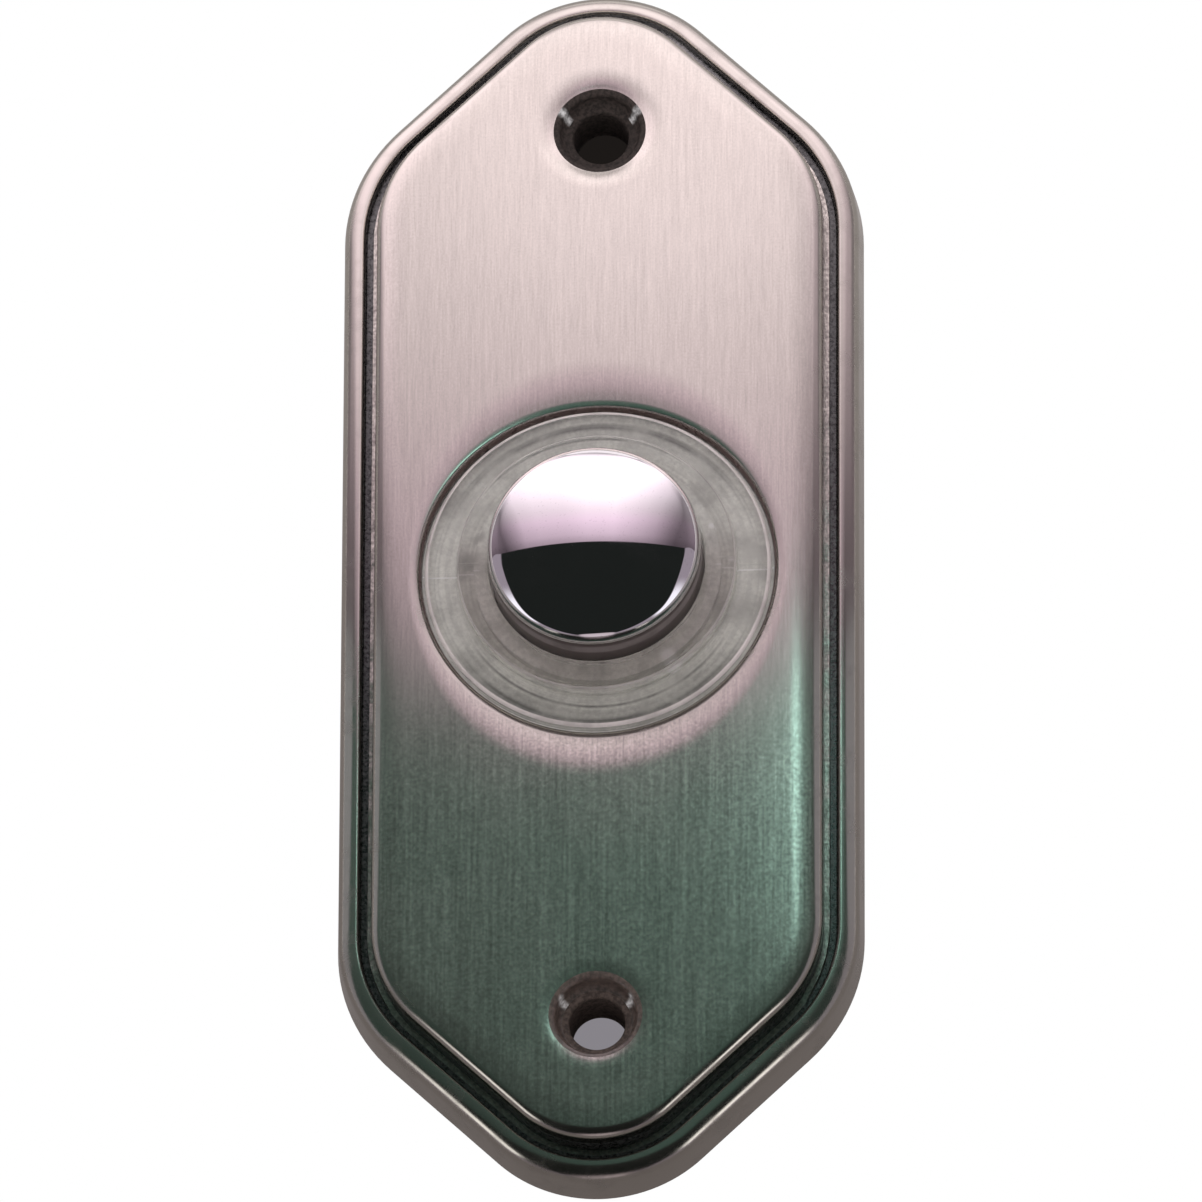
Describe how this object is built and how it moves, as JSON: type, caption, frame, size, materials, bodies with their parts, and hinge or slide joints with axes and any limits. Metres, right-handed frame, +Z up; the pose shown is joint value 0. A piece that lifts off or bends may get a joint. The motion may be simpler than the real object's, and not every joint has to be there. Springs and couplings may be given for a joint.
{
  "type": "doorbell push button",
  "caption": "Long hexagonal satin metal wall plate with rounded corners, two screw holes, and a chrome domed push button in a clear stepped ring.",
  "frame": {"origin": "on the button's axis, midway between the two screw holes, in the plane of the wall", "axes": "+Z up along the plate, +Y into the wall, the front facing -Y"},
  "size_m": [0.0444, 0.0138, 0.111],
  "materials": {
    "satin_plate": "satin plated die casting",
    "clear_ring": "clear moulding",
    "chrome_cap": "mirror chrome",
    "white_moulding": "moulded",
    "grey_moulding": "moulded",
    "contact_brass": "bright",
    "spring_steel": "plain",
    "plated_screw": "zinc plated",
    "lamp_lens": "moulded lens",
    "tinned_wire": "tinned",
    "resistor_body": "lacquered"
  },
  "bodies": {
    "plate": {"faceplate": "satin_plate", "lens_ring": "clear_ring", "switch_base": "grey_moulding", "return_spring": "spring_steel", "base_screw_upper": "plated_screw", "base_screw_lower": "plated_screw", "contact_rivet_left": "contact_brass", "contact_strip_left": "contact_brass", "terminal_screw_left": "plated_screw", "terminal_washer_left": "plated_screw", "terminal_nut_left": "contact_brass", "lamp_left": "lamp_lens", "lamp_lead_left": "tinned_wire", "contact_rivet_right": "contact_brass", "contact_strip_right": "contact_brass", "terminal_screw_right": "plated_screw", "terminal_washer_right": "plated_screw", "terminal_nut_right": "contact_brass", "lamp_right": "lamp_lens", "lamp_lead_right": "tinned_wire", "lamp_resistor": "resistor_body"},
    "button": {"button_cap": "chrome_cap", "button_plunger": "white_moulding", "contact_disc": "contact_brass", "contact_retainer": "spring_steel"}
  },
  "joints": [
    {"name": "button_press", "type": "slide", "parent": "plate", "child": "button", "axis": [0, 1, 0], "range_m": [0, 0.0014], "stiffness_N_per_m": 800, "springref_m": -0.003, "deforming": ["return_spring"]}
  ]
}
